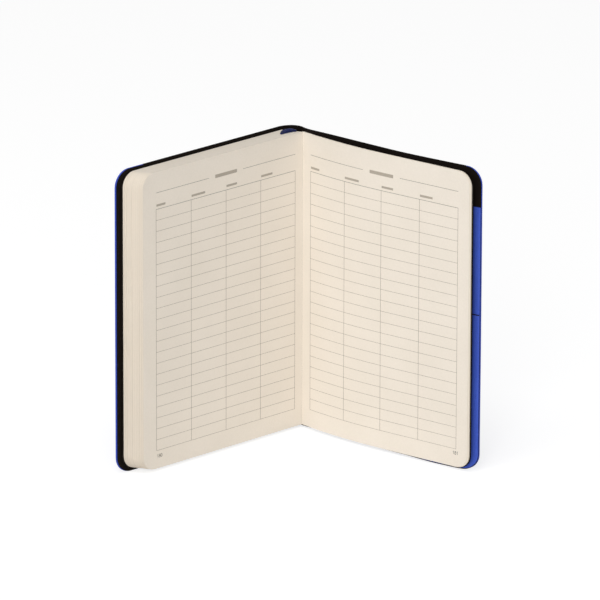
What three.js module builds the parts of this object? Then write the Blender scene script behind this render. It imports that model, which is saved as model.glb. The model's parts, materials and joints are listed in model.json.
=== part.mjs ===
// A sewn softcover notebook that stands open on its tail, near the end of the book.
// Millimetres, +Z up. The reader stands at -Y, the spine is at the back, and the gutter is a vertical line.
import * as THREE from "three";

// Leaves and signatures
const PAGE_WIDTH = 122;
const PAGE_HEIGHT = 176.5;
const PAGE_CORNER_RADIUS = 8.5;
const LEAF_THICKNESS = 0.11;
const LEAVES_PER_SIGNATURE = 8;
const WHOLE_SIGNATURES = 11;
const OPEN_SIGNATURE_LEAVES_LEFT = 1;
const OPEN_SIGNATURE_LEAVES_RIGHT = 5;
const FLYLEAF_THICKNESS = 0.16;
const FLYLEAF_REACH = 0.8;
const SHEET_GAP = 0.06;
const PAGE_CLEARANCE = 0.1;
const GUTTER_INSET = 0.4;
const TOP_LEAF_TUCK = 1.2;

// How the book stands open, as seen from above
const LEFT_PAGE_DIRECTION = 222.9;
const RIGHT_PAGE_DIRECTION = -38.8;
const FORE_EDGE_SLANT = 29;

// Cover, a laminate of skin, board and liner
const COVER_EXTRA_WIDTH = 0.7;
const COVER_OVERHANG = 1.75;
const COVER_EXTRA_CORNER_RADIUS = 1.5;
const SKIN_THICKNESS = 0.5;
const BOARD_THICKNESS = 0.45;
const LINER_THICKNESS = 0.2;
const LAMINATE_GAP = 0.05;
const FRONT_COVER_GAP = 0.3;
const FRONT_FORE_EDGE_OVERHANG = 3.5;
const BACK_COVER_START = 2.2;
const BACK_COVER_BOW_START = 64;
const BACK_COVER_BOW = 1.9;

// Spine of the cover, an arch that stands clear of the block
const ARCH_RISE = 5;
const ARCH_END_GAP = 0.3;
const ARCH_FLEXIBLE_LENGTH = 7.6;

// Spine of the block
const THREAD_DIAMETER = 0.36;
const THREAD_SIDES = 8;
const THREAD_OFFSET = 0.2;
const THREAD_STATIONS = 5;
const THREAD_END_DISTANCE = 18;
const THREAD_END_INSET = 0.8;
const MULL_THICKNESS = 0.25;
const MULL_THREAD_GAP = 0.09;
const MULL_START = 2;
const MULL_END_INSET = 0.8;
const MULL_BAND_GAP = 2.25;
const BAND_SKIRT_HEIGHT = 8;
const BAND_SKIRT_OFFSET = 0.15;
const BAND_SKIRT_THICKNESS = 0.4;
const BAND_BEAD_CLEARANCE = 0.15;
const BAND_BEAD_DROP = 0.1;
const BAND_START = 2.6;
const BAND_END_INSET = 0.9;

// Pocket inside the back cover
const POCKET_TOP_DROP = 23;
const POCKET_SPINE_INSET = 13;
const POCKET_EDGE_INSET = 0.8;
const POCKET_PANEL_THICKNESS = 0.3;
const POCKET_LAYER_GAP = 0.05;
const SLOT_PANEL_HEIGHT = 93.2;
const GUSSET_PLY = 0.12;
const GUSSET_PLY_GAP = 0.1;
const GUSSET_FOLD_WIDTH = 7;
const GUSSET_CORNER_GAP = 0.6;
const POCKET_CLEARANCE = 0.3;

// Segments along a quarter circle of a rounded corner, along the arch, and along the bow of the back cover
const CORNER_SEGMENTS = 8;
const ARCH_SEGMENTS = 14;
const BOW_SEGMENTS = 6;
const TAIL_GUSSET_SEGMENTS = 14;

const radians = THREE.MathUtils.degToRad;

function finish(color, roughness) {
  return new THREE.MeshStandardMaterial({ color, roughness, metalness: 0 });
}

function piece(name, geometry, color, roughness) {
  const mesh = new THREE.Mesh(geometry, finish(color, roughness));
  mesh.name = name;
  return mesh;
}

const PAPER = [0xe3d7c4, 0.9];
const BLACK_PAPER = [0x161412, 0.85];
const BLUE_SKIN = [0x2f4db0, 0.55];
const BLUE_CLOTH = [0x2c48a4, 0.8];
const BOARD = [0x8a8378, 0.9];
const GAUZE = [0xd8d2c4, 0.95];
const THREAD = [0xeee9dc, 0.8];

// A flat sheet standing on its lower edge: it runs from x = 0 to its width, its face is at y = 0, its back
// at y = -thickness, and the corners at its far end are round. A lean shifts its back along x.
function standingSheet(width, height, thickness, radii, lean = 0) {
  const [low, high] = radii;
  const outline = new THREE.Shape();
  outline.moveTo(0, 0);
  outline.lineTo(width - low, 0);
  if (low > 0) {
    outline.absarc(width - low, low, low, -Math.PI / 2, 0);
  }
  outline.lineTo(width, height - high);
  if (high > 0) {
    outline.absarc(width - high, height - high, high, 0, Math.PI / 2);
  }
  outline.lineTo(0, height);
  const geometry = new THREE.ExtrudeGeometry(outline, {
    depth: thickness,
    bevelEnabled: false,
    curveSegments: CORNER_SEGMENTS,
  });
  geometry.rotateX(Math.PI / 2);
  geometry.applyMatrix4(new THREE.Matrix4().set(1, -lean, 0, 0, 0, 1, 0, 0, 0, 0, 1, 0, 0, 0, 0, 1));
  return geometry;
}

function roundBoth(radius) {
  return [radius, radius];
}

// The back cover and its pocket are laid out flat, x along the panel and y behind the liner's face, and then
// bend away from the leaves along an arc that starts at the bow's start.
function bowed(x, y) {
  const turn = Math.max(x - BACK_COVER_BOW_START, 0) / bowRadius;
  const along = Math.min(x, BACK_COVER_BOW_START);
  return [along + (bowRadius - y) * Math.sin(turn), bowRadius - (bowRadius - y) * Math.cos(turn)];
}

function bendWithCover(geometry) {
  const points = geometry.getAttribute("position");
  for (let n = 0; n < points.count; n++) {
    const [x, y] = bowed(points.getX(n), points.getY(n));
    points.setXY(n, x, y);
  }
  geometry.computeVertexNormals();
  return geometry;
}

function bowStations(start, end, radius) {
  const straightEnd = end - radius;
  const stations = [start];
  for (let n = 0; n < BOW_SEGMENTS; n++) {
    stations.push(BACK_COVER_BOW_START + ((straightEnd - BACK_COVER_BOW_START) * n) / BOW_SEGMENTS);
  }
  for (let n = 0; n <= CORNER_SEGMENTS; n++) {
    stations.push(straightEnd + radius * Math.sin((Math.PI / 2) * (n / CORNER_SEGMENTS)));
  }
  return stations;
}

// A sheet of the back cover from start to end and bottom to top, whose front is at depth y. The radii round
// the two corners at its end.
function bowedSheet([start, end], [bottom, top], y, thickness, [lowRadius, highRadius]) {
  const cornerDrop = (x, radius) => {
    const past = Math.max(x - (end - radius), 0);
    return radius - Math.sqrt(Math.max(radius ** 2 - past ** 2, 0));
  };
  const corners = bowStations(start, end, Math.max(lowRadius, highRadius)).map((x) => {
    const low = bottom + cornerDrop(x, lowRadius);
    const high = top - cornerDrop(x, highRadius);
    return {
      frontLow: [x, y, low],
      frontHigh: [x, y, high],
      backLow: [x, y + thickness, low],
      backHigh: [x, y + thickness, high],
    };
  });
  const positions = [];
  const quad = (a, b, c, d) => positions.push(...a, ...b, ...c, ...a, ...c, ...d);
  for (let n = 1; n < corners.length; n++) {
    const a = corners[n - 1];
    const b = corners[n];
    quad(a.frontLow, b.frontLow, b.frontHigh, a.frontHigh);
    quad(a.backLow, a.backHigh, b.backHigh, b.backLow);
    quad(a.frontHigh, b.frontHigh, b.backHigh, a.backHigh);
    quad(a.frontLow, a.backLow, b.backLow, b.frontLow);
  }
  const first = corners[0];
  const last = corners[corners.length - 1];
  quad(first.frontLow, first.frontHigh, first.backHigh, first.backLow);
  quad(last.frontLow, last.backLow, last.backHigh, last.frontHigh);
  const geometry = new THREE.BufferGeometry();
  geometry.setAttribute("position", new THREE.Float32BufferAttribute(positions, 3));
  return bendWithCover(geometry);
}

// Sizes that several pieces share
const coverWidth = PAGE_WIDTH + COVER_EXTRA_WIDTH;
const coverHeight = PAGE_HEIGHT + 2 * COVER_OVERHANG;
const coverCornerRadius = PAGE_CORNER_RADIUS + COVER_EXTRA_CORNER_RADIUS;
const lean = Math.tan(radians(FORE_EDGE_SLANT));
const signatureThickness = LEAF_THICKNESS * LEAVES_PER_SIGNATURE;
const coverThickness = SKIN_THICKNESS + BOARD_THICKNESS + LINER_THICKNESS + 2 * LAMINATE_GAP;
const gussetThickness = 3 * GUSSET_PLY + 2 * GUSSET_PLY_GAP;
const pocketThickness = gussetThickness + 2 * POCKET_PANEL_THICKNESS + 3 * POCKET_LAYER_GAP;
const bowRadius = ((coverWidth - BACK_COVER_BOW_START) ** 2 + BACK_COVER_BOW ** 2) / (2 * BACK_COVER_BOW);

const notebook = new THREE.Group();
const leftHalf = new THREE.Group();
leftHalf.rotation.z = radians(LEFT_PAGE_DIRECTION);
const rightHalf = new THREE.Group();
rightHalf.rotation.z = radians(RIGHT_PAGE_DIRECTION);
notebook.add(leftHalf, rightHalf);

// Left half: the top leaf, the rest of the open signature, the whole signatures and the flyleaf, from the
// page that is read down to the front cover. Returns the depth of the stack's back below the page's plane.
function stackLeftLeaves(half) {
  let depth = PAGE_CLEARANCE;
  const lay = (name, thickness, paper, reach = 0) => {
    const width = PAGE_WIDTH - GUTTER_INSET + reach;
    const sheet = standingSheet(width, PAGE_HEIGHT, thickness, roundBoth(PAGE_CORNER_RADIUS), lean);
    const mesh = piece(name, sheet, ...paper);
    mesh.position.set(GUTTER_INSET + lean * depth, -depth, COVER_OVERHANG);
    half.add(mesh);
    depth += thickness + SHEET_GAP;
  };
  lay("left_leaf", LEAF_THICKNESS, PAPER);
  for (let n = 1; n <= OPEN_SIGNATURE_LEAVES_LEFT; n++) {
    lay(`open_signature_left_leaf_${n}`, LEAF_THICKNESS, PAPER);
  }
  for (let n = WHOLE_SIGNATURES; n >= 1; n--) {
    lay(`signature_${String(n).padStart(2, "0")}`, signatureThickness, PAPER);
  }
  lay("front_flyleaf", FLYLEAF_THICKNESS, BLACK_PAPER, FLYLEAF_REACH);
  return depth - SHEET_GAP;
}

// Right half: the top leaf, the leaves under it and the black flyleaf. Behind the page is +y here.
function stackRightLeaves(half) {
  let depth = PAGE_CLEARANCE;
  const lay = (name, thickness, paper, width) => {
    const sheet = standingSheet(width, PAGE_HEIGHT, thickness, roundBoth(PAGE_CORNER_RADIUS));
    const mesh = piece(name, sheet, ...paper);
    depth += thickness;
    mesh.position.set(GUTTER_INSET, depth, COVER_OVERHANG);
    half.add(mesh);
    depth += SHEET_GAP;
  };
  const width = PAGE_WIDTH - GUTTER_INSET;
  lay("right_leaf", LEAF_THICKNESS, PAPER, width - TOP_LEAF_TUCK);
  for (let n = 1; n <= OPEN_SIGNATURE_LEAVES_RIGHT; n++) {
    lay(`open_signature_right_leaf_${n}`, LEAF_THICKNESS, PAPER, width);
  }
  lay("back_flyleaf", FLYLEAF_THICKNESS, BLACK_PAPER, width + FLYLEAF_REACH);
  return depth - SHEET_GAP;
}

// One cover panel, a laminate whose liner's face is at y = 0. The shape of a layer comes from its depth
// below that face and its thickness.
function coverPanel(side, layerShape) {
  const panel = new THREE.Group();
  let depth = 0;
  for (const [name, thickness, paper] of [
    ["liner", LINER_THICKNESS, BLACK_PAPER],
    ["board", BOARD_THICKNESS, BOARD],
    ["skin", SKIN_THICKNESS, BLUE_SKIN],
  ]) {
    panel.add(piece(`${side}_cover_${name}`, layerShape(depth, thickness), ...paper));
    depth += thickness + LAMINATE_GAP;
  }
  return panel;
}

function frontCoverLayer(depth, thickness) {
  const sheet = standingSheet(coverWidth, coverHeight, thickness, roundBoth(coverCornerRadius));
  return sheet.translate(0, -depth, 0);
}

function backCoverLayer(depth, thickness) {
  return bowedSheet([0, coverWidth], [0, coverHeight], depth, thickness, roundBoth(coverCornerRadius));
}

// A strip folded like a Z, standing up: plies lie on each other and join at the folds.
function foldedStrip(length, steps = 1) {
  const pitch = GUSSET_PLY + GUSSET_PLY_GAP;
  const far = GUSSET_FOLD_WIDTH;
  const section = new THREE.Shape();
  section.moveTo(0, 0);
  section.lineTo(far, 0);
  section.lineTo(far, pitch + GUSSET_PLY);
  section.lineTo(GUSSET_PLY, pitch + GUSSET_PLY);
  section.lineTo(GUSSET_PLY, 2 * pitch);
  section.lineTo(far, 2 * pitch);
  section.lineTo(far, 2 * pitch + GUSSET_PLY);
  section.lineTo(0, 2 * pitch + GUSSET_PLY);
  section.lineTo(0, pitch);
  section.lineTo(far - GUSSET_PLY, pitch);
  section.lineTo(far - GUSSET_PLY, GUSSET_PLY);
  section.lineTo(0, GUSSET_PLY);
  return new THREE.ExtrudeGeometry(section, { depth: length, steps, bevelEnabled: false });
}

// The pocket on the back cover's liner: a folded gusset on three sides, a panel over it that is open at the
// top, and a shorter panel in front that makes a slot at half height. In front of the liner is -y.
function addPocket(panel) {
  const left = POCKET_SPINE_INSET;
  const right = coverWidth - POCKET_EDGE_INSET;
  const bottom = POCKET_EDGE_INSET;
  const top = coverHeight - POCKET_TOP_DROP;
  const corner = coverCornerRadius - POCKET_EDGE_INSET;
  const gussetBack = -POCKET_LAYER_GAP;
  const gussetFront = gussetBack - gussetThickness;

  const sideFoot = bottom + Math.max(corner, GUSSET_FOLD_WIDTH) + GUSSET_CORNER_GAP;
  const foreEdgeStrip = foldedStrip(top - sideFoot);
  foreEdgeStrip.translate(right - GUSSET_FOLD_WIDTH, gussetFront, sideFoot);
  const foreEdge = piece("pocket_fore_edge_gusset", bendWithCover(foreEdgeStrip), ...BLUE_CLOTH);
  const spineSide = piece("pocket_spine_gusset", foldedStrip(top - sideFoot), ...BLUE_CLOTH);
  spineSide.rotation.z = Math.PI;
  spineSide.position.set(left + GUSSET_FOLD_WIDTH, gussetBack, sideFoot);
  const tailStrip = foldedStrip(right - corner - left, TAIL_GUSSET_SEGMENTS);
  tailStrip.rotateY(Math.PI / 2);
  tailStrip.translate(left, gussetFront, bottom + GUSSET_FOLD_WIDTH);
  const tail = piece("pocket_tail_gusset", bendWithCover(tailStrip), ...BLUE_CLOTH);

  const mainFront = gussetFront - POCKET_LAYER_GAP - POCKET_PANEL_THICKNESS;
  const slotFront = mainFront - POCKET_LAYER_GAP - POCKET_PANEL_THICKNESS;
  const panelShape = (height, y) =>
    bowedSheet([left, right], [bottom, bottom + height], y, POCKET_PANEL_THICKNESS, [corner, 0]);
  const mainPanel = piece("pocket_panel", panelShape(top - bottom, mainFront), ...BLUE_SKIN);
  const slotPanel = piece("pocket_slot_panel", panelShape(SLOT_PANEL_HEIGHT, slotFront), ...BLUE_SKIN);
  panel.add(foreEdge, spineSide, tail, mainPanel, slotPanel);
}

// Sewing, lining and bands on the block's spine. Their group has x along the spine from the page that is
// read to the front cover, and -y away from the block.
function dressBlockSpine(half, stackDepth) {
  const spine = new THREE.Group();
  spine.position.x = GUTTER_INSET;
  spine.rotation.z = Math.atan2(-1, lean);
  const length = stackDepth / Math.cos(radians(FORE_EDGE_SLANT));

  const firstStation = COVER_OVERHANG + THREAD_END_DISTANCE;
  const stationSpacing = (PAGE_HEIGHT - 2 * THREAD_END_DISTANCE) / (THREAD_STATIONS - 1);
  const threadLength = length - 2 * THREAD_END_INSET;
  for (let n = 0; n < THREAD_STATIONS; n++) {
    const radius = THREAD_DIAMETER / 2;
    const geometry = new THREE.CylinderGeometry(radius, radius, threadLength, THREAD_SIDES);
    geometry.rotateZ(Math.PI / 2);
    const thread = piece(`sewing_thread_${n + 1}`, geometry, ...THREAD);
    thread.position.set(length / 2, -THREAD_OFFSET - radius, firstStation + n * stationSpacing);
    spine.add(thread);
  }

  const mullWidth = length - MULL_START - MULL_END_INSET;
  const mullHeight = PAGE_HEIGHT - 2 * (BAND_SKIRT_HEIGHT + MULL_BAND_GAP);
  const mullOffset = THREAD_OFFSET + THREAD_DIAMETER + MULL_THREAD_GAP;
  const mull = piece("mull", standingSheet(mullWidth, mullHeight, MULL_THICKNESS, roundBoth(0)), ...GAUZE);
  mull.position.set(MULL_START, -mullOffset, (coverHeight - mullHeight) / 2);
  spine.add(mull);

  const bandLength = length - BAND_START - BAND_END_INSET;
  for (const [name, edge, up] of [
    ["headband", COVER_OVERHANG + PAGE_HEIGHT, 1],
    ["tailband", COVER_OVERHANG, -1],
  ]) {
    const band = piece(name, bandGeometry(bandLength, edge, up), ...BLUE_CLOTH);
    band.position.x = BAND_START + bandLength;
    spine.add(band);
  }
  half.add(spine);
}

// A band's section is a skirt glued to the spine and a round bead over the block's edge, which fits
// between that edge and the height of the cover.
function bandGeometry(length, edge, up) {
  const beadRadius = (COVER_OVERHANG - BAND_BEAD_CLEARANCE - BAND_BEAD_DROP) / 2;
  const skirtInside = BAND_SKIRT_OFFSET;
  const skirtOutside = BAND_SKIRT_OFFSET + BAND_SKIRT_THICKNESS;
  const beadMiddle = skirtOutside - beadRadius;
  const beadBase = edge + up * BAND_BEAD_CLEARANCE;
  const beadHeight = beadBase + up * beadRadius;
  const section = new THREE.Shape();
  section.moveTo(skirtInside, edge - up * BAND_SKIRT_HEIGHT);
  section.lineTo(skirtOutside, edge - up * BAND_SKIRT_HEIGHT);
  section.lineTo(skirtOutside, beadHeight);
  section.absarc(beadMiddle, beadHeight, beadRadius, 0, up * Math.PI, up < 0);
  section.lineTo(beadMiddle - beadRadius, beadBase);
  section.lineTo(skirtInside, beadBase);
  const geometry = new THREE.ExtrudeGeometry(section, {
    depth: length,
    bevelEnabled: false,
    curveSegments: CORNER_SEGMENTS,
  });
  const turn = new THREE.Matrix4().makeBasis(
    new THREE.Vector3(0, -1, 0),
    new THREE.Vector3(0, 0, 1),
    new THREE.Vector3(-1, 0, 0),
  );
  geometry.applyMatrix4(turn);
  return geometry;
}

// The arch of the cover's spine stands on the outer corners of the two cover panels, seen from above.
function addArch(from, to) {
  const chord = to.clone().sub(from);
  const radius = ((chord.length() / 2) ** 2 + ARCH_RISE ** 2) / (2 * ARCH_RISE);
  const middle = from.clone().add(to).multiplyScalar(0.5);
  const normal = new THREE.Vector2(-chord.y, chord.x).normalize();
  const centre = middle.addScaledVector(normal, ARCH_RISE - radius);
  const start = from.clone().sub(centre).angle() - ARCH_END_GAP / radius;
  const end = to.clone().sub(centre).angle() + ARCH_END_GAP / radius;
  const flexibleStart = end + ARCH_FLEXIBLE_LENGTH / radius;
  const rigidEnd = flexibleStart + ARCH_END_GAP / radius;
  const linerRadius = radius - SKIN_THICKNESS - LAMINATE_GAP;
  const strips = [
    ["spine_skin", radius, SKIN_THICKNESS, rigidEnd, start, BLUE_SKIN],
    ["spine_liner", linerRadius, LINER_THICKNESS, rigidEnd, start, BLACK_PAPER],
    ["spine_joint_skin", radius, SKIN_THICKNESS, end, flexibleStart, BLUE_SKIN],
    ["spine_joint_liner", linerRadius, LINER_THICKNESS, end, flexibleStart, BLACK_PAPER],
  ];
  for (const [name, outside, thickness, low, high, paper] of strips) {
    const section = new THREE.Shape();
    section.absarc(centre.x, centre.y, outside, low, high, false);
    section.absarc(centre.x, centre.y, outside - thickness, high, low, true);
    const geometry = new THREE.ExtrudeGeometry(section, {
      depth: coverHeight,
      bevelEnabled: false,
      curveSegments: ARCH_SEGMENTS,
    });
    notebook.add(piece(name, geometry, ...paper));
  }
}

function planPoint(group, x, y) {
  group.updateWorldMatrix(true, false);
  const point = new THREE.Vector3(x, y, 0).applyMatrix4(group.matrixWorld);
  return new THREE.Vector2(point.x, point.y);
}

const leftDepth = stackLeftLeaves(leftHalf);
const rightDepth = stackRightLeaves(rightHalf);
dressBlockSpine(leftHalf, leftDepth);

const frontCover = coverPanel("front", frontCoverLayer);
const blockForeEdge = PAGE_WIDTH + FLYLEAF_REACH + lean * leftDepth;
const frontCoverStart = blockForeEdge + FRONT_FORE_EDGE_OVERHANG - coverWidth;
frontCover.position.set(frontCoverStart, -leftDepth - FRONT_COVER_GAP, 0);
leftHalf.add(frontCover);

const backCover = coverPanel("back", backCoverLayer);
backCover.position.set(BACK_COVER_START, rightDepth + POCKET_CLEARANCE + pocketThickness, 0);
rightHalf.add(backCover);
addPocket(backCover);

addArch(planPoint(frontCover, 0, -coverThickness), planPoint(backCover, 0, coverThickness));

// The origin is on the floor, under the middle of the open book
const middle = new THREE.Box3().setFromObject(notebook, true).getCenter(new THREE.Vector3());
notebook.position.set(-middle.x, -middle.y, 0);
notebook.updateMatrixWorld(true);

export default notebook;
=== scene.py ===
import json
import math
import random
import bmesh
import bpy
import numpy as np
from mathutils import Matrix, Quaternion, Vector


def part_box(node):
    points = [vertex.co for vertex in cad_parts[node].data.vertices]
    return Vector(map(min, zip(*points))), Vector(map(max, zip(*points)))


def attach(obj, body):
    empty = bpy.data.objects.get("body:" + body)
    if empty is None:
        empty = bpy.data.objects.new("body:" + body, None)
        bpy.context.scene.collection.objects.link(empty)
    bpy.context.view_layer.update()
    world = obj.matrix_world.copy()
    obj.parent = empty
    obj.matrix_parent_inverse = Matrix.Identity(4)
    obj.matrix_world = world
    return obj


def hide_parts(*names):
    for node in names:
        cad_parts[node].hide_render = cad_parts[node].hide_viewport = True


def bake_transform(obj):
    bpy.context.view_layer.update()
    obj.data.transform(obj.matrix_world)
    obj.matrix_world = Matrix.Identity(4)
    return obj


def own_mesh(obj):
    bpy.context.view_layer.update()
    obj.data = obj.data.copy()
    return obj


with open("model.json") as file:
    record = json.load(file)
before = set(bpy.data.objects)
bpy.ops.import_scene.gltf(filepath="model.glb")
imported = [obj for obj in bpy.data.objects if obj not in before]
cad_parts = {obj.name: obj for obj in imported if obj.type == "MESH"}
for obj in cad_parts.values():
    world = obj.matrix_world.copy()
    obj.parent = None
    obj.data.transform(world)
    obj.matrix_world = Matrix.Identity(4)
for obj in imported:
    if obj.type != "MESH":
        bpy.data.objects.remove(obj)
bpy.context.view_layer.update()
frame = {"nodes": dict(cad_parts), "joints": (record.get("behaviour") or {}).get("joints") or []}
nodes = frame["nodes"]
joints = {j["name"]: j for j in frame["joints"]}
MM = 0.001

# Sizes, mm
LEAF = 0.1
FLYLEAF = 0.16
LEAVES_PER_SIGNATURE = 8
LEAF_FILL = 0.97
SIGNATURE_STEP = 0.3
SHEET_JITTER = (-0.12, 0.02)
LEAF_JITTER = 0.05
SHEET_FOLD_STEPS = 6
LINER = 0.25
EDGE_FOLD = 0.3
FOLD_TAPER = 1.5
FOLD_TAPER_STEPS = 3
FRONT_FOLD_STOP = 22.0
BACK_FOLD_STOP = 12.0
FRONT_SKIN_BORDER = 0.4
BACK_SKIN_BORDER = 0.05
CORNER_STEPS = 10
PANEL_STEP = 4.0
FOLDED_SHEET_STEP = 20.0
BOWED_LEAF_STEP = 3.0
PANEL_ROWS = 16
CASE_BEVEL = 0.12
POCKET_BEVEL = 0.06
GUSSET_BEVEL = 0.05
SHARP_ANGLE = 35.0
BEAD_SHARP_ANGLE = 60.0
BEVEL_ANGLE = 40.0
COVER_CORNER_RADIUS = 10.0
PAGE_CORNER_RADIUS = 8.5
FOLD_START = 0.02
FOLD_REACH = 3.0
UNDER_LEAF_START = 0.3
# The right leaves lie tight at the fold and looser further out
TIGHT_PITCH = 0.112
LOOSE_PITCH = 0.05
LOOSE_REACH = (2.0, 25.0)

# How far the right page stands out towards the reader, at distances from the gutter
RIGHT_PAGE_BOW = [(0, 0), (4, 0.62), (11, 1.7), (21, 2.75), (31, 3.5), (43, 3.9), (60, 3.7), (77, 3.0),
                  (94, 2.2), (108, 1.6), (121, 1.0)]
# How far the outside of the back cover lies behind the page's plane
BACK_COVER_BOW = [(2.2, 1.85), (5, 1.6), (10, 1.75), (20, 1.85), (35, 1.7), (50, 1.6), (72, 1.7), (90, 2.9),
                  (124.9, 6.0)]
# The lower part of the back cover bows less than the upper part, and its tail lifts a little beside the spine
TAIL_TWIST = 1.9
TAIL_TWIST_HEIGHT = 80.0
TAIL_TWIST_REACH = (72.0, 98.0)
TAIL_TWIST_EASE = 0.85
TAIL_TWIST_EASE_START = 110.0
TAIL_LIFT = 1.0
TAIL_LIFT_REACH = (12.0, 45.0)
# Outside of the cover's spine between the two covers, from the gutter: to the right, and back
SPINE_ARCH = [(-13.3, 4.7), (-10.4, 6.2), (-8.2, 6.85), (-5.9, 7.0), (-3.5, 6.4), (-1.3, 5.1), (0.2, 3.4),
              (1.4, 1.6)]
# The arch's points before its own, and the point of it at which the back joint's strip begins
ARCH_LEAD = 2
FLEXIBLE_POINT = 5
ARCH_END_STATION = 3.6
PER_SPAN = 5
HINGE_STRIP = 4.0
BACK_STRIP_END = 5.0
# Pocket
POCKET_CORNER_INSET = 0.8
POCKET_SPINE_EDGE = 16.0
POCKET_END_INSET = 0.15
POCKET_PANEL = 0.25
GUSSET = 0.22
GUSSET_WIDTH = 7.0
GUSSET_GAP = 0.01
GUSSET_INSET = 0.2
GUSSET_FOOT = 0.6
GUSSET_STEPS = 6
TAIL_GUSSET_STEPS = 20
POCKET_LIP = 0.1
LIP_RISE = 0.3
# Height of the painted shadow strip under the slot panel's lip
SLOT_SHADOW_HEIGHT = 0.75
LIP_LIFT = 0.14
LIP_SINK = 0.02
# How far the painted shadow strip stands out from the slot panel
SLOT_SHADOW_LIFT = 0.07
SLOT_GAP = 0.03
EDGE_ROLL = 0.2
EDGE_ROLL_WIDTH = 1.1
CREASE_WIDTH = 0.35
CREASE_FROM_EDGE = 5.0
CREASE_DEPTH = 0.16
CREASE_STEP = 0.3
# The headband's line from the gutter, to the right and back, and its bead
BAND_LINE = [(-3.6, -0.2), (-5.8, 0.4), (-8.4, -0.3), (-10.7, -2.6), (-12.3, -5.8)]
BEAD_HALF_WIDTH = 2.3
BEAD_HALF_HEIGHT = 1.15
BEAD_SIDES = 12
BEAD_STEPS = 24
BEAD_TURNS = 24
BEAD_TIP = 0.35
BEAD_TAPER = 2.0
BEAD_RIB = 0.1

# Ruled table, from the page's lower edge and from the reader's left page edge
RULING_TOP = 154.4
RULING_ROW = 6.53
RULING_ROWS = 22
RULING_COLUMNS = 4
RULING_WIDTH = 106.5
LEFT_RULING_START = 9.8
RIGHT_RULING_START = 6.6
TITLE_RULE = 164.2
TITLE_GAP = 13.0
TITLE_BAR = (8.3, 1.0)
HEADING_BARS = (6.8, 10.3, 8.0, 8.7)
HEADING_INSET = 0.3
HEADING_HEIGHTS = (1.6, 2.9)
ROW_LINE = 0.08
COLUMN_LINE = 0.1
TITLE_LINE = 0.1
TABLE_HEAD_LINE = 0.11
PAGE_WIDTH = 122.0
PRINT_STEP = 3.0
INK_HEIGHT = 0.012
INK_SINK = 0.02

# Page numbers: height, pitch, thickness, and where each starts
DIGIT_HEIGHT = 1.9
DIGIT_PITCH = 1.35
STROKE = 0.24
LEFT_NUMBER = (10.3, 6.4)
RIGHT_NUMBER = (110.9, 7.4)

# Camera, light and floor
ELEVATION = math.radians(18.63)
ROLL = math.radians(0.17)
CAMERA_DISTANCE = 5058.0
LENS = 530.2
SENSOR = 36.0
LOOK_LEFT = 1.3
LOOK_HEIGHT = 75.4
CLIP_NEAR = 0.1
CLIP_FAR = 50.0
FLOOR_RADIUS = 9.0
FLOOR_SIDES = 64
FLOOR_GREY = 0.82
SEEN_FLOOR_GREY = 0.38
SEEN_FLOOR_GLOW = 0.75
WORLD_STRENGTH = 0.3

random.seed(11)


# Plan
def plan_points(node):
    return np.array([v.co.xy for v in nodes[node].data.vertices]) / MM


gutter = np.array(joints["left_leaf_turn"]["pos_m"][:2]) / MM


class Side:
    """One half of the open book in plan: s runs along the page from the gutter, depth runs back from it."""

    def __init__(self, node, hand):
        points = plan_points(node) - gutter
        axes = np.linalg.svd(points - points.mean(0), full_matrices=False)[2]
        self.along = axes[0] * np.sign(axes[0] @ points.mean(0))
        self.back = np.array([-self.along[1], self.along[0]]) * hand

    def at(self, s, depth):
        return gutter + s * self.along + depth * self.back

    def reach(self, node):
        points = plan_points(node) - gutter
        s, depth = points @ self.along, points @ self.back
        return s.min(), s.max(), depth.min(), depth.max()


left = Side("left_leaf", -1)
right = Side("right_leaf", 1)


def heights(node):
    low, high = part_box(node)
    return low.z / MM, high.z / MM


page_low, page_high = heights("right_leaf")
cover_low, cover_high = heights("back_cover_skin")


def through(points):
    """A smooth curve through points, as a function."""
    xs, ys = (np.array(v, float) for v in zip(*points))
    slopes = np.gradient(ys, xs)

    def value(x):
        x = min(max(x, xs[0]), xs[-1])
        i = min(max(int(np.searchsorted(xs, x, side="right")) - 1, 0), len(xs) - 2)
        h = xs[i + 1] - xs[i]
        t = (x - xs[i]) / h
        a = (1 + 2 * t) * (1 - t) ** 2 * ys[i] + t * (1 - t) ** 2 * h * slopes[i]
        b = t * t * (3 - 2 * t) * ys[i + 1] + t * t * (t - 1) * h * slopes[i + 1]
        return a + b

    return value


def ease(x, start, end):
    t = min(max((x - start) / (end - start), 0.0), 1.0)
    return t * t * (3 - 2 * t)


def spread(a, b, count):
    return [a + (b - a) * i / count for i in range(count + 1)]


def stations(start, end, radius, step=PANEL_STEP):
    """Distances along a panel, closer together where its far corners round off."""
    straight = end - radius
    count = max(2, round((straight - start) / step))
    line = [start + (straight - start) * i / count for i in range(count)]
    arc = [straight + radius * math.sin(math.pi / 2 * i / CORNER_STEPS) for i in range(CORNER_STEPS + 1)]
    return line + arc


def corner_drop(s, end, radius):
    x = min(max(s - (end - radius), 0.0), radius)
    return radius - math.sqrt(max(radius * radius - x * x, 0.0))


# Meshes
def face_points(plan, low, high, rows):
    """One face of a standing strip, as stations times rows. A plan point may be a function of the height."""
    grid = []
    for p, a, b in zip(plan, low, high):
        levels = [a + (b - a) * r / (rows - 1) for r in range(rows)]
        grid.append([(*(p(z) if callable(p) else p), z) for z in levels])
    return grid


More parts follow.
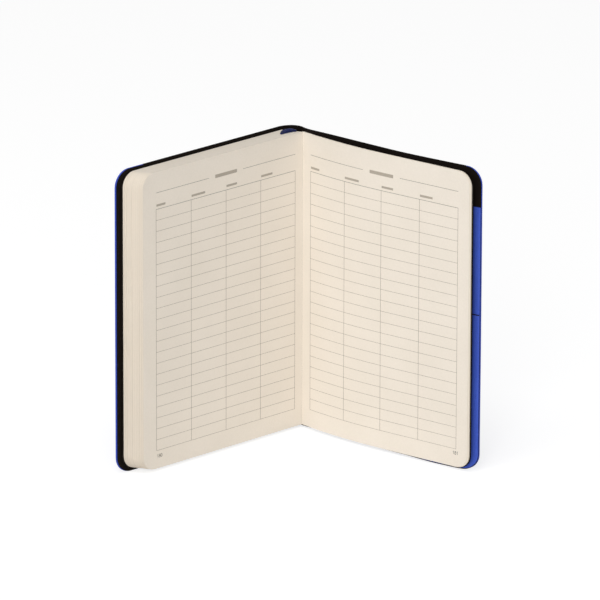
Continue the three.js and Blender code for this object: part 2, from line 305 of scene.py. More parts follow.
def add_strip(mesh, front, back, low, high, rows=2):
    f, b = (
        [[mesh.verts.new([c * MM for c in p]) for p in column]
         for column in face_points(plan, low, high, rows)]
        for plan in (front, back)
    )
    n = len(f)
    for i in range(n - 1):
        for r in range(rows - 1):
            mesh.faces.new((f[i][r], f[i + 1][r], f[i + 1][r + 1], f[i][r + 1]))
            mesh.faces.new((b[i][r], b[i][r + 1], b[i + 1][r + 1], b[i + 1][r]))
        mesh.faces.new((f[i][0], b[i][0], b[i + 1][0], f[i + 1][0]))
        mesh.faces.new((f[i][-1], f[i + 1][-1], b[i + 1][-1], b[i][-1]))
    for i in (0, n - 1):
        for r in range(rows - 1):
            mesh.faces.new((f[i][r], f[i][r + 1], b[i][r + 1], b[i][r]))


def finish_mesh(name, mesh, material, slot, bevel=0.0, sharp=SHARP_ANGLE):
    bmesh.ops.recalc_face_normals(mesh, faces=mesh.faces)
    data = bpy.data.meshes.new(name)
    mesh.to_mesh(data)
    mesh.free()
    for polygon in data.polygons:
        polygon.use_smooth = True
    data.set_sharp_from_angle(angle=math.radians(sharp))
    data.materials.append(material)
    piece = bpy.data.objects.new(name, data)
    bpy.context.scene.collection.objects.link(piece)
    if bevel:
        rounding = piece.modifiers.new("rounding", "BEVEL")
        rounding.width = bevel * MM
        rounding.segments = 2
        rounding.limit_method = "ANGLE"
        rounding.angle_limit = math.radians(BEVEL_ANGLE)
    return piece


def one_strip(name, material, slot, front, back, low, high, rows=2, bevel=0.0):
    mesh = bmesh.new()
    add_strip(mesh, front, back, low, high, rows)
    return finish_mesh(name, mesh, material, slot, bevel)


# Materials
def srgb(r, g, b):
    def linear(v):
        v /= 255
        return v / 12.92 if v <= 0.04045 else ((v + 0.055) / 1.055) ** 2.4
    return linear(r), linear(g), linear(b), 1.0


class Surface:
    """A Principled material on object coordinates, with short names for the nodes that its detail needs.
    Texture scales are in repeats per metre."""

    def __init__(self, name, roughness=0.8, **settings):
        self.material = bpy.data.materials.new(name)
        self.material.use_nodes = True
        self.tree = self.material.node_tree
        self.shader = self.tree.nodes["Principled BSDF"]
        self.shader.inputs["Roughness"].default_value = roughness
        for key, value in settings.items():
            self.shader.inputs[key.replace("_", " ")].default_value = value
        self.place = self.tree.nodes.new("ShaderNodeTexCoord").outputs["Object"]

    def node(self, kind, **settings):
        made = self.tree.nodes.new("ShaderNode" + kind)
        for key, value in settings.items():
            if key in made.inputs:
                made.inputs[key].default_value = value
            else:
                setattr(made, key, value)
        return made

    def link(self, a, b):
        self.tree.links.new(a, b)

    def scaled(self, scale):
        mapping = self.node("Mapping")
        mapping.inputs["Scale"].default_value = scale
        self.link(self.place, mapping.inputs["Vector"])
        return mapping.outputs["Vector"]

    def noise(self, scale, detail=4.0, stretch=(1, 1, 1), distortion=0.0):
        n = self.node("TexNoise", Scale=scale, Detail=detail, Distortion=distortion)
        self.link(self.scaled(stretch), n.inputs["Vector"])
        return n.outputs["Fac"]

    def cells(self, scale, feature="DISTANCE_TO_EDGE"):
        n = self.node("TexVoronoi", Scale=scale, feature=feature)
        self.link(self.place, n.inputs["Vector"])
        return n.outputs["Distance"]

    def wave(self, scale, direction, distortion=0.0):
        n = self.node("TexWave", Scale=scale, Distortion=distortion, bands_direction=direction)
        self.link(self.place, n.inputs["Vector"])
        return n.outputs["Fac"]

    def math(self, operation, a, b):
        n = self.node("Math", operation=operation)
        for socket, value in zip(n.inputs, (a, b)):
            if isinstance(value, (int, float)):
                socket.default_value = value
            else:
                self.link(value, socket)
        return n.outputs[0]

    def ramp(self, value, low, high, to_low=0.0, to_high=1.0):
        n = self.node("MapRange")
        for key, number in (("From Min", low), ("From Max", high), ("To Min", to_low), ("To Max", to_high)):
            n.inputs[key].default_value = number
        self.link(value, n.inputs["Value"])
        return n.outputs["Result"]

    def mix(self, share, a, b):
        n = self.node("Mix", data_type="RGBA")
        self.link(share, n.inputs["Factor"])
        for socket, value in ((n.inputs[6], a), (n.inputs[7], b)):
            if isinstance(value, tuple):
                socket.default_value = value
            else:
                self.link(value, socket)
        return n.outputs[2]

    def island(self):
        return self.node("NewGeometry").outputs["Random Per Island"]

    def color(self, value):
        self.link(value, self.shader.inputs["Base Color"])

    def roughness(self, value):
        self.link(value, self.shader.inputs["Roughness"])

    def bump(self, height, distance, strength=1.0):
        n = self.node("Bump", Strength=strength, Distance=distance)
        self.link(height, n.inputs["Height"])
        self.link(n.outputs["Normal"], self.shader.inputs["Normal"])


def paper(name, light, dark, leaf_tone=0.0):
    s = Surface(name, 0.9, Specular_IOR_Level=0.25)
    tooth = s.noise(850, 7)
    cloud = s.noise(38, 3)
    base = s.mix(s.math("ADD", s.math("MULTIPLY", tooth, 0.5), s.math("MULTIPLY", cloud, 0.5)), dark, light)
    # Each sheet is a random amount darker: partly a varied paper tone, partly painted shade between the
    # leaves' edges
    if leaf_tone:
        shade = tuple(c * (1 - leaf_tone) for c in light[:3]) + (1.0,)
        base = s.mix(s.math("MULTIPLY", s.island(), 0.9), base, shade)
    s.color(base)
    s.roughness(s.ramp(tooth, 0.3, 0.7, 0.84, 0.96))
    s.bump(tooth, 0.00007)
    return s.material


def black_paper(name, dark, light):
    s = Surface(name, 0.8, Specular_IOR_Level=0.12)
    fibre = s.noise(1700, 6, (1, 1, 2.2))
    cloud = s.noise(55, 3)
    s.color(s.mix(s.math("MULTIPLY", s.math("ADD", fibre, cloud), 0.5), dark, light))
    s.roughness(s.ramp(fibre, 0.3, 0.7, 0.74, 0.9))
    s.bump(fibre, 0.00006)
    return s.material


def skin(name, dark, light, grain_depth=0.00009, roughness=0.5):
    s = Surface(name, roughness, Specular_IOR_Level=0.35)
    grain = s.cells(1500)
    pebble = s.ramp(grain, 0.0, 0.16)
    fine = s.noise(5200, 4)
    cloud = s.noise(42, 3)
    tone = s.math("ADD", s.math("MULTIPLY", pebble, 0.55), s.math("MULTIPLY", cloud, 0.45))
    s.color(s.mix(tone, dark, light))
    s.roughness(s.ramp(fine, 0.3, 0.7, roughness - 0.08, roughness + 0.12))
    s.bump(s.math("ADD", pebble, s.math("MULTIPLY", fine, 0.3)), grain_depth)
    return s.material


def cloth(name, dark, light, pitch=0.35):
    s = Surface(name, 0.85, Specular_IOR_Level=0.25, Sheen_Weight=0.15)
    scale = 0.314 / (pitch * MM)
    warp = s.wave(scale, "Z", 0.4)
    weft = s.wave(scale, "DIAGONAL", 0.4)
    weave = s.math("MULTIPLY", warp, weft)
    tone = s.math("ADD", s.math("MULTIPLY", weave, 0.7), s.math("MULTIPLY", s.noise(260, 3), 0.3))
    s.color(s.mix(tone, dark, light))
    s.bump(weave, 0.00008)
    return s.material


def gauze(name):
    s = Surface(name, 0.95, Specular_IOR_Level=0.2)
    weave = s.math("MAXIMUM", s.wave(300, "Z", 0.3), s.wave(300, "DIAGONAL", 0.3))
    s.color(s.mix(s.ramp(weave, 0.45, 0.8), srgb(150, 142, 126), srgb(224, 217, 202)))
    s.bump(weave, 0.0001)
    return s.material


def thread(name, dark, light):
    s = Surface(name, 0.8, Sheen_Weight=0.2)
    twist = s.wave(620, "DIAGONAL", 0.6)
    s.color(s.mix(twist, dark, light))
    s.bump(twist, 0.00005)
    return s.material


def ink(name, dark, light):
    s = Surface(name, 0.85, Specular_IOR_Level=0.2)
    s.color(s.mix(s.noise(1900, 4), dark, light))
    return s.material


PAGE = paper("ivory_page", srgb(249, 240, 228), srgb(233, 224, 210))
# Each of the block's sheets gets a random darker tone, which partly paints the shade between leaves on its
# edges
BLOCK = paper("ivory_leaves", srgb(249, 239, 225), srgb(240, 230, 214), leaf_tone=0.16)
# The leaves under the right page: a darker copy of the page paper, painting the shade along their stacked
# edges
UNDER = paper("ivory_under_leaves_painted_shade", srgb(243, 233, 217), srgb(231, 221, 204), 0.06)
BLACK = black_paper("black_lining", srgb(9, 6, 4), srgb(29, 21, 16))
SKIN = skin("blue_grained_skin", srgb(42, 64, 170), srgb(64, 94, 214))
POCKET = skin("blue_pocket_skin", srgb(52, 78, 188), srgb(72, 104, 216), 0.00006, 0.55)
# Near-black blue for the strip under the slot panel's lip: a painted shadow
SLOT_SHADOW = cloth("blue_seam_shadow", srgb(8, 13, 36), srgb(16, 24, 62))
CLOTH = cloth("blue_gusset_cloth", srgb(34, 52, 128), srgb(60, 86, 180))
BAND = cloth("headband_silk", srgb(3, 10, 44), srgb(14, 36, 112), 0.9)
GAUZE = gauze("mull_gauze")
THREAD = thread("linen_thread", srgb(205, 198, 182), srgb(244, 240, 230))
LINE = ink("ruling_ink", srgb(136, 122, 106), srgb(152, 138, 122))
HEADER_LINE = ink("header_ink", srgb(110, 102, 92), srgb(128, 120, 108))
BAR = ink("heading_bar_ink", srgb(176, 166, 152), srgb(186, 176, 162))
DIGIT = ink("digit_ink", srgb(88, 82, 76), srgb(104, 98, 90))


# Left half: page, block and front cover
block_first = left.reach("signature_11")
block_last = left.reach("signature_01")
LEAN = (block_last[1] - block_first[1]) / (block_last[3] - block_first[3])


def left_sheet(name, node, start, depth, thickness, material, slot, body):
    """One leaf of the left half. The depth is that of its front at any distance from the gutter."""
    end = left.reach(node)[1]
    steps = stations(start, end, PAGE_CORNER_RADIUS)
    drop = [corner_drop(s, end, PAGE_CORNER_RADIUS) for s in steps]
    piece = one_strip(
        name, material, slot,
        [left.at(s, depth(s)) for s in steps],
        [left.at(s, depth(s) + thickness) for s in steps],
        [page_low + d for d in drop],
        [page_high - d for d in drop],
    )
    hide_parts(node)
    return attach(piece, body)


left_page_depth = left.reach("left_leaf")[2]


def page_depth(s):
    return left_page_depth * ease(s, 0, FOLD_REACH)


left_sheet("left_page", "left_leaf", FOLD_START, page_depth, LEAF, PAGE, "book_paper", "left_leaf")
for name, node, thickness, material, slot in (
    ("leaf_under_left_page", "open_signature_left_leaf_1", LEAF, BLOCK, "book_paper"),
    ("front_flyleaf_sheet", "front_flyleaf", FLYLEAF, BLACK, "black_paper"),
):
    start, _, depth, _ = left.reach(node)
    left_sheet(name, node, start, lambda s: depth, thickness, material, slot, "book_block")


def folded_sheet(mesh, spine, fore_edge, top_depth, bottom_depth, thickness):
    """A sheet folded at the spine, whose two leaves lie at the two depths."""
    jitter = random.uniform(*SHEET_JITTER)
    radius = (bottom_depth - top_depth) / 2
    legs = []
    for depth, turn in ((top_depth, 1), (bottom_depth, -1)):
        shift = LEAN * depth
        end = fore_edge + shift + jitter + random.uniform(-LEAF_JITTER, LEAF_JITTER)
        steps = stations(spine + shift + radius, end, PAGE_CORNER_RADIUS, FOLDED_SHEET_STEP)
        leg = [(s, depth, corner_drop(s, end, PAGE_CORNER_RADIUS)) for s in steps]
        legs.append(leg[::-1] if turn > 0 else leg)
    middle = (top_depth + bottom_depth) / 2
    shift = LEAN * middle
    fold = []
    for i in range(1, SHEET_FOLD_STEPS):
        a = math.pi * i / SHEET_FOLD_STEPS
        fold.append((spine + shift + radius - radius * math.sin(a), middle - radius * math.cos(a), 0.0))
    line = legs[0] + fold + legs[1]
    plan = np.array([(s, d) for s, d, _ in line])
    tangent = np.gradient(plan, axis=0)
    tangent /= np.linalg.norm(tangent, axis=1)[:, None]
    normal = np.stack([-tangent[:, 1], tangent[:, 0]], 1) * thickness / 2
    add_strip(
        mesh,
        [left.at(*p) for p in plan + normal],
        [left.at(*p) for p in plan - normal],
        [page_low + d for _, _, d in line],
        [page_high - d for _, _, d in line],
    )


for number in range(1, 12):
    node = f"signature_{number:02d}"
    start, end, top, bottom = left.reach(node)
    spine = start - LEAN * top
    fore_edge = end - LEAN * bottom
    pitch = (bottom - top) / LEAVES_PER_SIGNATURE
    fore_edge += random.uniform(-SIGNATURE_STEP, 0)
    mesh = bmesh.new()
    for k in range(LEAVES_PER_SIGNATURE // 2):
        inset = (k + 0.5) * pitch
        folded_sheet(mesh, spine, fore_edge, top + inset, bottom - inset, pitch * LEAF_FILL)
    signature = finish_mesh(f"folded_{node}", mesh, BLOCK, "book_paper")
    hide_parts(node)
    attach(signature, "book_block")

front_hinge = np.array(joints["front_cover_hinge"]["pos_m"][:2]) / MM
front_start, front_end, front_inside, _ = left.reach("front_cover_liner")
front_outside = left.reach("front_cover_skin")[3]


def at_height(side, s, depth):
    """The plan point of a face at s, as a function of the height."""
    return lambda z: side.at(s, depth(s, z))


def cover_panel(side, name, start, end, border, fold_end, inside, outside, tail, body, replaced):
    """A cover panel between two faces: black lining in front, and the skin round the board behind it. The
    lining is folded over the head and tail edges as far as fold_end, and the skin wraps the rest of the edge.
    The tail edge may lift off the floor."""
    def fold(s):
        return EDGE_FOLD * (1 - ease(s, fold_end, fold_end + FOLD_TAPER))

    lining_end = end - border
    lining_steps = stations(start, lining_end, COVER_CORNER_RADIUS)
    lining_drop = [max(corner_drop(s, lining_end, COVER_CORNER_RADIUS), fold(s) / 2) for s in lining_steps]
    lining = one_strip(
        f"{name}_lining", BLACK, "black_paper",
        [at_height(side, s, inside) for s in lining_steps],
        [at_height(side, s, lambda s, z: inside(s, z) + LINER) for s in lining_steps],
        [cover_low + tail(s) + d for s, d in zip(lining_steps, lining_drop)],
        [cover_high - d for d in lining_drop],
        rows=PANEL_ROWS,
    )
    steps = stations(start, end, COVER_CORNER_RADIUS)
    steps = sorted(steps + spread(fold_end, fold_end + FOLD_TAPER, FOLD_TAPER_STEPS))
    drop = [max(corner_drop(s, end, COVER_CORNER_RADIUS), fold(s)) for s in steps]
    case = one_strip(
        f"{name}_case", SKIN, "blue_skin",
        [at_height(side, s, lambda s, z: inside(s, z) + LINER) for s in steps],
        [at_height(side, s, outside) for s in steps],
        [cover_low + tail(s) + d for s, d in zip(steps, drop)],
        [cover_high - d for d in drop],
        rows=PANEL_ROWS,
        bevel=CASE_BEVEL,
    )
    pieces = [lining, case]
    fold_steps = [s for s in steps if s < fold_end + FOLD_TAPER]
    for edge, base, up in (("head", cover_high, 1), ("tail", cover_low, -1)):
        outer = [base + (tail(s) if up < 0 else 0) for s in fold_steps]
        inner = [b - up * fold(s) for b, s in zip(outer, fold_steps)]
        pieces.append(one_strip(
            f"{name}_{edge}_turn_in", BLACK, "black_paper",
            [at_height(side, s, inside) for s in fold_steps],
            [at_height(side, s, outside) for s in fold_steps],
            *((inner, outer) if up > 0 else (outer, inner)),
        ))
    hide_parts(replaced[0])
    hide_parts(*replaced[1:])
    for piece in pieces:
        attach(piece, body)


cover_panel(
    left, "front_cover", front_start + HINGE_STRIP, front_end, FRONT_SKIN_BORDER, front_end - FRONT_FOLD_STOP,
    lambda s, z: front_inside, lambda s, z: front_outside, lambda s: 0.0,
    "front_cover", ("front_cover_liner", "front_cover_board", "front_cover_skin"),
)

# Right half: leaves, back cover and pocket
page_bow = through(RIGHT_PAGE_BOW)
cover_bow = through(BACK_COVER_BOW)
leaf_nodes = ["right_leaf"] + [f"open_signature_right_leaf_{n}" for n in range(1, 6)] + ["back_flyleaf"]


def leaf_depth(order, s):
    """Depth of the front of a right leaf at s."""
    pitch = TIGHT_PITCH + LOOSE_PITCH * ease(s, *LOOSE_REACH)
    return left_page_depth * ease(s, 0, FOLD_REACH) - page_bow(s) + order * pitch


def flatten_when_turned(piece):
    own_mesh(piece)


def right_sheet(order, node, thickness, material, slot, body):
    _, end, _, _ = right.reach(node)
    start = FOLD_START if order == 0 else UNDER_LEAF_START
    steps = stations(start, end, PAGE_CORNER_RADIUS, BOWED_LEAF_STEP)
    drop = [corner_drop(s, end, PAGE_CORNER_RADIUS) for s in steps]
    piece = one_strip(
        node.replace("open_signature_", "").replace("right_leaf", "right_page") + "_sheet", material, slot,
        [right.at(s, leaf_depth(order, s)) for s in steps],
        [right.at(s, leaf_depth(order, s) + thickness) for s in steps],
        [page_low + d for d in drop],
        [page_high - d for d in drop],
    )
    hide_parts(node)
    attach(piece, body)
    flatten_when_turned(piece)


for order, node in enumerate(leaf_nodes):
    if node == "right_leaf":
        right_sheet(order, node, LEAF, PAGE, "book_paper", "right_leaf")
    elif node == "back_flyleaf":
        right_sheet(order, node, FLYLEAF, BLACK, "black_paper", "right_leaves")
    else:
        right_sheet(order, node, LEAF, UNDER, "book_paper", "right_leaves")

back_start, back_end, _, _ = right.reach("back_cover_skin")
cover_thickness = front_outside - front_inside


def back_outside(s, z):
    reach = ease(s, *TAIL_TWIST_REACH) * (1 - TAIL_TWIST_EASE * ease(s, TAIL_TWIST_EASE_START, back_end))
    return cover_bow(s) - TAIL_TWIST * reach * (1 - ease(z - cover_low, 0, TAIL_TWIST_HEIGHT))


def back_inside(s, z):
    return back_outside(s, z) - cover_thickness


def back_tail(s):
    return TAIL_LIFT * (1 - ease(s, *TAIL_LIFT_REACH))


cover_panel(
    right, "back_cover", BACK_STRIP_END, back_end, BACK_SKIN_BORDER, back_end - BACK_FOLD_STOP,
    back_inside, back_outside, back_tail,
    "back_cover", ("back_cover_liner", "back_cover_board", "back_cover_skin"),
)

# Pocket: a panel over folded gussets, and a shorter slot panel in front of it
pocket_start, pocket_end, _, _ = right.reach("pocket_panel")
pocket_low, pocket_high = heights("pocket_panel")
slot_low, slot_high = heights("pocket_slot_panel")
POCKET_CORNER_RADIUS = COVER_CORNER_RADIUS - POCKET_CORNER_INSET
pocket_start = max(pocket_start, POCKET_SPINE_EDGE)
pocket_end = back_end - POCKET_END_INSET


def pocket_front(layer):
    """Depth of the front of a pocket layer, 0 for the panel and 1 for the slot panel in front of it. A
    shallow crease runs up the panel where the gusset's edge lies under it, and the far edge rolls back."""
    def depth(s, z):
        crease = CREASE_DEPTH * math.exp(-((s - (pocket_end - CREASE_FROM_EDGE)) / CREASE_WIDTH) ** 2)
        roll = EDGE_ROLL * ease(s, pocket_end - EDGE_ROLL_WIDTH, pocket_end) ** 2
        return back_inside(s, z) - GUSSET - POCKET_PANEL - layer * (POCKET_PANEL + SLOT_GAP) + crease + roll
    return depth


def pocket_panel(name, node, layer, low, high):
    front = pocket_front(layer)
    steps = sorted(stations(pocket_start, pocket_end, POCKET_CORNER_RADIUS)
                   + [pocket_end - CREASE_FROM_EDGE + CREASE_STEP * k for k in range(-3, 4)])
    drop = [corner_drop(s, pocket_end, POCKET_CORNER_RADIUS) for s in steps]
    panel = one_strip(
        name, POCKET, "blue_skin",
        [at_height(right, s, front) for s in steps],
        [at_height(right, s, lambda s, z: front(s, z) + POCKET_PANEL) for s in steps],
        [low + d + back_tail(s) for s, d in zip(steps, drop)],
        [high for _ in drop],
        rows=PANEL_ROWS,
        bevel=POCKET_BEVEL,
    )
    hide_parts(node)
    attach(panel, "back_cover")
    edges = [("folded_lip", POCKET, high - POCKET_LIP, high + LIP_RISE, LIP_LIFT)]
    if layer:
        # The slot panel gets a dark strip under its lip, a painted shadow in the slot's mouth
        edges.append(("slot_shadow", SLOT_SHADOW, high - POCKET_LIP - SLOT_SHADOW_HEIGHT, high - POCKET_LIP, SLOT_SHADOW_LIFT))
    for part, material, bottom, top, lift in edges:
        lip = one_strip(
            f"{name}_{part}", material, "blue_skin",
            [at_height(right, s, lambda s, z: front(s, z) - lift) for s in steps],
            [at_height(right, s, lambda s, z: front(s, z) + LIP_SINK) for s in steps],
            [bottom for _ in drop],
            [top for _ in drop],
        )
        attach(lip, "back_cover")


pocket_panel("pocket_main_panel", "pocket_panel", 0, pocket_low, pocket_high)
pocket_panel("pocket_front_panel", "pocket_slot_panel", 1, slot_low, slot_high)


def gusset(name, node, steps, low, high):
    piece = one_strip(
        name, CLOTH, "blue_cloth",
        [at_height(right, s, lambda s, z: back_inside(s, z) - GUSSET + GUSSET_GAP) for s in steps],
        [at_height(right, s, lambda s, z: back_inside(s, z) - GUSSET_GAP) for s in steps],
        low, high,
        rows=PANEL_ROWS,
        bevel=GUSSET_BEVEL,
    )
    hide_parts(node)
    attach(piece, "back_cover")


side_foot = [pocket_low + POCKET_CORNER_RADIUS + GUSSET_FOOT] * (GUSSET_STEPS + 1)
side_head = [pocket_high - GUSSET_INSET] * (GUSSET_STEPS + 1)
edge_steps = spread(pocket_end - GUSSET_WIDTH, pocket_end - GUSSET_INSET, GUSSET_STEPS)
gusset("fore_edge_gusset_fold", "pocket_fore_edge_gusset", edge_steps, side_foot, side_head)
edge_steps = spread(pocket_start + GUSSET_INSET, pocket_start + GUSSET_WIDTH, GUSSET_STEPS)
gusset("spine_side_gusset_fold", "pocket_spine_gusset", edge_steps, side_foot, side_head)
edge_steps = spread(pocket_start + GUSSET_INSET, pocket_end - POCKET_CORNER_RADIUS, TAIL_GUSSET_STEPS)
tail_foot = [pocket_low + back_tail(s) + GUSSET_INSET for s in edge_steps]
tail_head = [pocket_low + GUSSET_WIDTH for _ in edge_steps]
gusset("tail_gusset_fold", "pocket_tail_gusset", edge_steps, tail_foot, tail_head)

# Spine of the cover
arch = [tuple(front_hinge - gutter + left.along * HINGE_STRIP)] + [tuple(front_hinge - gutter)] + SPINE_ARCH
arch += [tuple(right.at(s, cover_bow(s)) - gutter) for s in (back_start, ARCH_END_STATION, BACK_STRIP_END)]


def smooth_line(points, per_span):
    """A Catmull-Rom line through plan points."""
    pts = [np.array(p, float) for p in points]
    pts = [2 * pts[0] - pts[1]] + pts + [2 * pts[-1] - pts[-2]]
    line = []
    for i in range(1, len(pts) - 2):
        p0, p1, p2, p3 = pts[i - 1:i + 3]
        for k in range(per_span):
            t = k / per_span
            line.append(0.5 * (2 * p1 + (p2 - p0) * t + (2 * p0 - 5 * p1 + 4 * p2 - p3) * t * t
                               + (3 * p1 - p0 - 3 * p2 + p3) * t**3))
    line.append(pts[-2])
    return np.array(line)


outline = smooth_line(arch, PER_SPAN)
tangent = np.gradient(outline, axis=0)
tangent /= np.linalg.norm(tangent, axis=1)[:, None]
inward = np.stack([tangent[:, 1], -tangent[:, 0]], 1)
if inward[len(inward) // 2] @ (-outline[len(outline) // 2]) < 0:
    inward = -inward


def spine_part(name, first, last, ends, replaced):
    """A length of the cover's spine: lining inside, skin outside, and lining folded over head and tail."""
    part = slice(first, last + 1)
    line, inn = outline[part] + gutter, inward[part]
    n = len(line)
    tail = [cover_low + TAIL_LIFT * ease(i, 0, len(outline) - 1) for i in range(first, last + 1)]
    lining = one_strip(
        f"{name}_lining", BLACK, "black_paper",
        line + inn * cover_thickness, line + inn * (cover_thickness - LINER),
        [t + EDGE_FOLD / 2 for t in tail], [cover_high - EDGE_FOLD / 2] * n,
    )
    case = one_strip(
        f"{name}_skin", SKIN, "blue_skin", line + inn * (cover_thickness - LINER), line,
        [t + EDGE_FOLD for t in tail], [cover_high - EDGE_FOLD] * n,
    )
    head = one_strip(
        f"{name}_head_turn_in", BLACK, "black_paper", line + inn * cover_thickness, line,
        [cover_high - EDGE_FOLD] * n, [cover_high] * n,
    )
    foot = one_strip(
        f"{name}_tail_turn_in", BLACK, "black_paper", line + inn * cover_thickness, line,
        tail, [t + EDGE_FOLD for t in tail],
    )
    for piece, node in zip((case, lining), replaced):
        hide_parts(node)
    for piece in (lining, case, head, foot):
        if isinstance(ends, str):
            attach(piece, ends)
        else:
            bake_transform(piece)


flex_front = ARCH_LEAD * PER_SPAN
flex_back = (ARCH_LEAD + FLEXIBLE_POINT) * PER_SPAN
bend_end = (ARCH_LEAD + len(SPINE_ARCH) - 1) * PER_SPAN
last = (len(arch) - 1) * PER_SPAN
front_ends = ("book_block", "front_cover", outline[flex_front] + gutter, outline[0] + gutter)
back_ends = ("book_block", "back_cover", outline[flex_back] + gutter, outline[bend_end] + gutter)
spine_part("spine_front_joint", 0, flex_front, front_ends, ())
spine_part("spine_arch", flex_front, flex_back, "book_block", ("spine_skin", "spine_liner"))
spine_part("spine_back_joint", flex_back, last, back_ends, ("spine_joint_skin", "spine_joint_liner"))

# Bands, gauze and sewing
def ribbed_band(name, node, up, path):
    """A bead wound with silk, whose turns show as ribs, along a line in plan at the head or the tail."""
    low, high = heights(node)
    middle = high - BEAD_HALF_HEIGHT if up > 0 else low + BEAD_HALF_HEIGHT
    line = smooth_line(path, BEAD_STEPS)
    tangent = np.gradient(line, axis=0)
    tangent /= np.linalg.norm(tangent, axis=1)[:, None]
    across = np.stack([-tangent[:, 1], tangent[:, 0]], 1)
    mesh = bmesh.new()
    steps = len(line) - 1
    rings = []
    for i, (centre, side) in enumerate(zip(line + gutter, across)):
        swell = 1 - BEAD_RIB + BEAD_RIB * abs(math.sin(math.pi * BEAD_TURNS * i / steps))
        taper = min(1.0, BEAD_TIP + BEAD_TAPER * min(i, steps - i) / steps)
        size = swell * taper
        ring = []
        for k in range(BEAD_SIDES):
            a = 2 * math.pi * k / BEAD_SIDES
            x, y = centre + side * BEAD_HALF_WIDTH * size * math.cos(a)
            z = middle + BEAD_HALF_HEIGHT * size * math.sin(a)
            ring.append(mesh.verts.new((x * MM, y * MM, z * MM)))
        rings.append(ring)
    for a, b in zip(rings, rings[1:]):
        for k in range(BEAD_SIDES):
            mesh.faces.new((a[k], a[(k + 1) % BEAD_SIDES], b[(k + 1) % BEAD_SIDES], b[k]))
    mesh.faces.new(rings[0])
    mesh.faces.new(rings[-1])
    bead = finish_mesh(f"{name}_bead", mesh, BAND, "blue_cloth", sharp=BEAD_SHARP_ANGLE)
    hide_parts(node)
    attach(bead, "book_block")


ribbed_band("headband", "headband", 1, BAND_LINE)
ribbed_band("tailband", "tailband", -1, BAND_LINE)
for name, material in [("mull", GAUZE)] + [(f"sewing_thread_{n}", THREAD) for n in range(1, 6)]:
    nodes[name].data.materials.clear()
    nodes[name].data.materials.append(material)


# Print
class Page:
    """Where a point of a printed page is: t from the reader's left edge, z above the page's lower edge."""

    def __init__(self, side, reader_left_is_gutter, depth):
        self.side, self.from_gutter, self.depth = side, reader_left_is_gutter, depth

    def at(self, t, lift):
        s = t if self.from_gutter else PAGE_WIDTH - t
        return self.side.at(s, self.depth(s) - lift)


left_print = Page(left, False, lambda s: left_page_depth)
right_print = Page(right, True, lambda s: leaf_depth(0, s))


def printed(mesh, page, t0, t1, z0, z1):
    count = max(1, round(abs(t1 - t0) / PRINT_STEP))
    steps = spread(t0, t1, count)
    n = len(steps)
    add_strip(mesh, [page.at(t, INK_HEIGHT) for t in steps], [page.at(t, -INK_SINK) for t in steps],
              [page_low + z0] * n, [page_low + z1] * n)


def rules(name, page, start, body, flatten):
    end = start + RULING_WIDTH
    middle = start + RULING_WIDTH / 2
    mesh = bmesh.new()
    for row in range(1, RULING_ROWS + 1):
        z = RULING_TOP - row * RULING_ROW
        printed(mesh, page, start, end, z - ROW_LINE, z + ROW_LINE)
    for column in range(RULING_COLUMNS + 1):
        t = start + RULING_WIDTH * column / RULING_COLUMNS
        foot = RULING_TOP - RULING_ROWS * RULING_ROW
        printed(mesh, page, t - COLUMN_LINE, t + COLUMN_LINE, foot, RULING_TOP)
    pieces = [finish_mesh(f"{name}_ruling", mesh, LINE, "book_paper")]
    mesh = bmesh.new()
    printed(mesh, page, start, end, RULING_TOP - TABLE_HEAD_LINE, RULING_TOP + TABLE_HEAD_LINE)
    for t0, t1 in ((start, middle - TITLE_GAP), (middle + TITLE_GAP, end)):
        printed(mesh, page, t0, t1, TITLE_RULE - TITLE_LINE, TITLE_RULE + TITLE_LINE)
    pieces.append(finish_mesh(f"{name}_header_rules", mesh, HEADER_LINE, "book_paper"))
    mesh = bmesh.new()
    half, rise = TITLE_BAR
    printed(mesh, page, middle - half, middle + half, TITLE_RULE - rise, TITLE_RULE + rise)
    low, high = HEADING_HEIGHTS
    for column, width in enumerate(HEADING_BARS):
        t = start + RULING_WIDTH * column / RULING_COLUMNS + HEADING_INSET
        printed(mesh, page, t, t + width, RULING_TOP + low, RULING_TOP + high)
    pieces.append(finish_mesh(f"{name}_heading_bars", mesh, BAR, "book_paper"))
    for piece in pieces:
        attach(piece, body)
        if flatten:
            flatten_when_turned(piece)


rules("left_page", left_print, LEFT_RULING_START, "left_leaf", False)
rules("right_page", right_print, RIGHT_RULING_START, "right_leaf", True)

# Page numbers
def oval(x, y, width, height, turns=16):
    angles = [2 * math.pi * k / turns for k in range(turns + 1)]
    return [(x + width / 2 * math.sin(a), y + height / 2 * math.cos(a)) for a in angles]


# Digits as lines, in parts of their height, from their lower left corner
DIGIT_LINES = {
    "0": [oval(0.26, 0.5, 0.52, 1.0)],
    "1": [[(0.08, 0.78), (0.28, 1.0), (0.28, 0.0)]],
    "8": [oval(0.26, 0.76, 0.44, 0.48), oval(0.26, 0.27, 0.54, 0.54)],
}


def stroke(mesh, page, points, z0):
    """A line of ink along points of t and z, as one thin closed bar for each stretch."""
    for (t0, h0), (t1, h1) in zip(points, points[1:]):
        length = math.hypot(t1 - t0, h1 - h0)
        ct, ch = -(h1 - h0) / length * STROKE / 2, (t1 - t0) / length * STROKE / 2
        et, eh = (t1 - t0) / length * STROKE / 4, (h1 - h0) / length * STROKE / 4
        ring = [(t0 - et + ct, h0 - eh + ch), (t1 + et + ct, h1 + eh + ch),
                (t1 + et - ct, h1 + eh - ch), (t0 - et - ct, h0 - eh - ch)]
        faces = []
        for lift in (INK_HEIGHT, -INK_SINK):
            corners = [(*page.at(t, lift), page_low + z0 + h) for t, h in ring]
            faces.append([mesh.verts.new([c * MM for c in p]) for p in corners])
        front, back = faces
        mesh.faces.new(front)
        mesh.faces.new(back[::-1])
        for k in range(4):
            mesh.faces.new((front[k], back[k], back[(k + 1) % 4], front[(k + 1) % 4]))


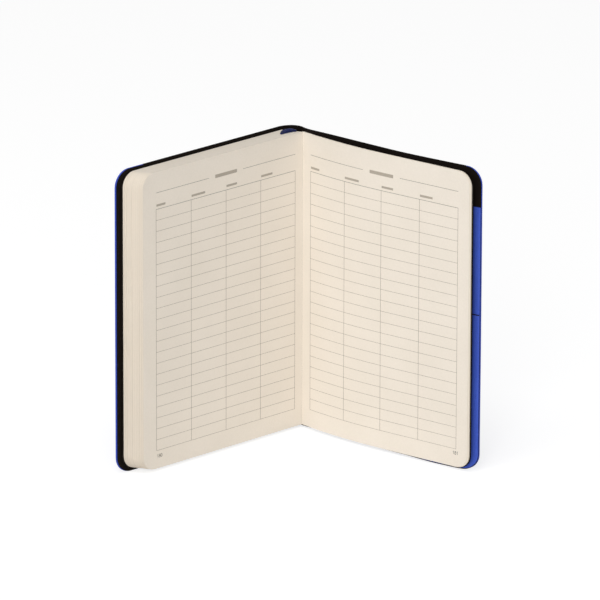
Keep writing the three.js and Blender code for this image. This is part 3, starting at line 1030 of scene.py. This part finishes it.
def number(name, page, text, place, body, flatten):
    t0, z0 = place
    mesh = bmesh.new()
    for order, digit in enumerate(text):
        for line in DIGIT_LINES[digit]:
            points = [(t0 + order * DIGIT_PITCH + x * DIGIT_HEIGHT, y * DIGIT_HEIGHT) for x, y in line]
            stroke(mesh, page, points, z0)
    piece = finish_mesh(name, mesh, DIGIT, "book_paper")
    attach(piece, body)
    if flatten:
        flatten_when_turned(piece)


number("left_page_number", left_print, "180", LEFT_NUMBER, "left_leaf", False)
number("right_page_number", right_print, "181", RIGHT_NUMBER, "right_leaf", True)

# Stage
look = np.array([gutter[0] - LOOK_LEFT, gutter[1], page_low + LOOK_HEIGHT])
camera_data = bpy.data.cameras.new("camera")
camera_data.lens = LENS
camera_data.sensor_width = SENSOR
camera_data.clip_start = CLIP_NEAR
camera_data.clip_end = CLIP_FAR
camera = bpy.data.objects.new("camera", camera_data)
bpy.context.scene.collection.objects.link(camera)
away = np.array([0.0, -math.cos(ELEVATION), math.sin(ELEVATION)])
camera.location = [c * MM for c in look + away * CAMERA_DISTANCE]
camera.rotation_mode = "QUATERNION"
camera.rotation_quaternion = Vector(-away).to_track_quat("-Z", "Y") @ Quaternion((0, 0, 1), ROLL)
bpy.context.scene.camera = camera

floor_mesh = bmesh.new()
bmesh.ops.create_circle(floor_mesh, cap_ends=True, segments=FLOOR_SIDES, radius=FLOOR_RADIUS)
floor_data = bpy.data.meshes.new("floor")
floor_mesh.to_mesh(floor_data)
floor_mesh.free()
floor = bpy.data.objects.new("floor", floor_data)
bpy.context.scene.collection.objects.link(floor)
floor_look = bpy.data.materials.new("white_floor")
floor_look.use_nodes = True
tree = floor_look.node_tree
tree.nodes.clear()
out = tree.nodes.new("ShaderNodeOutputMaterial")
plain = tree.nodes.new("ShaderNodeBsdfDiffuse")
plain.inputs["Color"].default_value = (FLOOR_GREY, FLOOR_GREY, FLOOR_GREY, 1)
seen = tree.nodes.new("ShaderNodeBsdfDiffuse")
seen.inputs["Color"].default_value = (SEEN_FLOOR_GREY, SEEN_FLOOR_GREY, SEEN_FLOOR_GREY, 1)
glow = tree.nodes.new("ShaderNodeEmission")
glow.inputs["Strength"].default_value = SEEN_FLOOR_GLOW
both = tree.nodes.new("ShaderNodeAddShader")
choose = tree.nodes.new("ShaderNodeMixShader")
path = tree.nodes.new("ShaderNodeLightPath")
tree.links.new(seen.outputs[0], both.inputs[0])
tree.links.new(glow.outputs[0], both.inputs[1])
tree.links.new(path.outputs["Is Camera Ray"], choose.inputs[0])
tree.links.new(plain.outputs[0], choose.inputs[1])
tree.links.new(both.outputs[0], choose.inputs[2])
tree.links.new(choose.outputs[0], out.inputs["Surface"])
floor_data.materials.append(floor_look)

world = bpy.data.worlds.new("studio")
bpy.context.scene.world = world
world.use_nodes = True
world.node_tree.nodes["Background"].inputs["Color"].default_value = (1, 1, 1, 1)
world.node_tree.nodes["Background"].inputs["Strength"].default_value = WORLD_STRENGTH


def lamp(name, place, target, size, power):
    data = bpy.data.lights.new(name, "AREA")
    data.shape = "DISK"
    data.size = size
    data.energy = power
    made = bpy.data.objects.new(name, data)
    bpy.context.scene.collection.objects.link(made)
    made.location = place
    direction = np.array(target, float) - np.array(place, float)
    made.rotation_euler = Vector(direction).to_track_quat("-Z", "Y").to_euler()


lamp("key", (-0.25, -2.5, 1.3), (0, 0, 0.09), 1.2, 27)
lamp("side", (-1.6, -1.6, 1.0), (0, 0, 0.09), 1.2, 5)
lamp("top", (-0.3, -0.9, 2.6), (0, 0, 0.18), 1.4, 23)

bpy.context.scene.view_settings.view_transform = "Standard"
